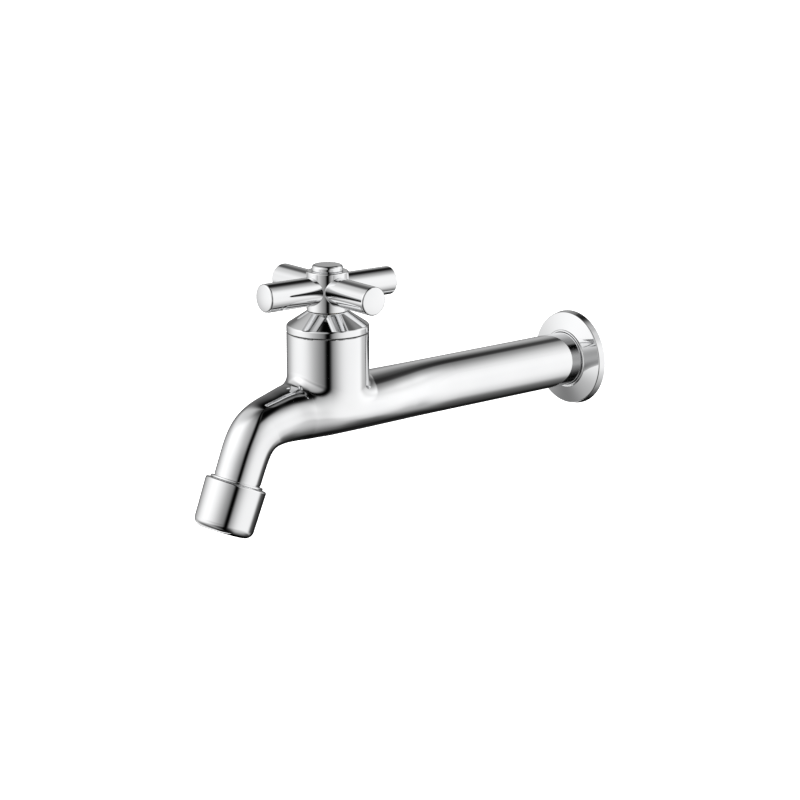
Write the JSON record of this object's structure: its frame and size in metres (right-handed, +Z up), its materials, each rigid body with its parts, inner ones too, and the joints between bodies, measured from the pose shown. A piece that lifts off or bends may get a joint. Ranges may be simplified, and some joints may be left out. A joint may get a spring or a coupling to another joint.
{
  "type": "wall tap",
  "caption": "Chromed wall-mounted single-feed tap: long straight body tube with wall flange, upright quarter-turn valve with cross handle, short curved spout with aerator.",
  "frame": {"origin": "on the inlet axis, in the plane of the wall, which is the flange's back face", "axes": "+Z up along the valve spindle's direction, +Y into the wall along the inlet, so the tap projects towards -Y, +X to the right of someone facing the wall"},
  "size_m": [0.0734, 0.2457, 0.1219],
  "materials": {
    "chrome_plate": "polished",
    "brass_turned": "satin",
    "black_rubber": "matte",
    "white_ceramic": "satin",
    "white_plastic": "satin",
    "grey_plastic": "satin",
    "stainless": "satin"
  },
  "bodies": {
    "tap": {"tap_body": "chrome_plate", "wall_flange": "chrome_plate", "bonnet_cover": "chrome_plate", "aerator_shell": "chrome_plate", "headwork_body": "brass_turned", "inlet_tail": "brass_turned", "flange_grip_ring": "black_rubber", "headwork_gasket": "black_rubber", "cover_seal": "black_rubber", "seat_seal": "black_rubber", "aerator_washer": "black_rubber", "fixed_disc": "white_ceramic", "thrust_washer": "white_plastic", "aerator_housing": "grey_plastic", "aerator_filter": "grey_plastic", "aerator_grid": "grey_plastic", "aerator_mesh": "stainless"},
    "handle": {"cross_handle": "chrome_plate", "index_cap": "chrome_plate", "cap_o_ring": "black_rubber", "handle_screw": "stainless", "spring_washer": "stainless", "spline_insert": "white_plastic", "spindle": "brass_turned", "spindle_o_rings": "black_rubber", "stop_ring": "stainless", "circlip": "stainless", "rotating_disc": "white_ceramic"}
  },
  "joints": [
    {"name": "handle_turn", "type": "hinge", "parent": "tap", "child": "handle", "pos_m": [0, -0.16015, 0.05633], "axis": [0, 0, 1], "range_deg": [0, 90]}
  ]
}
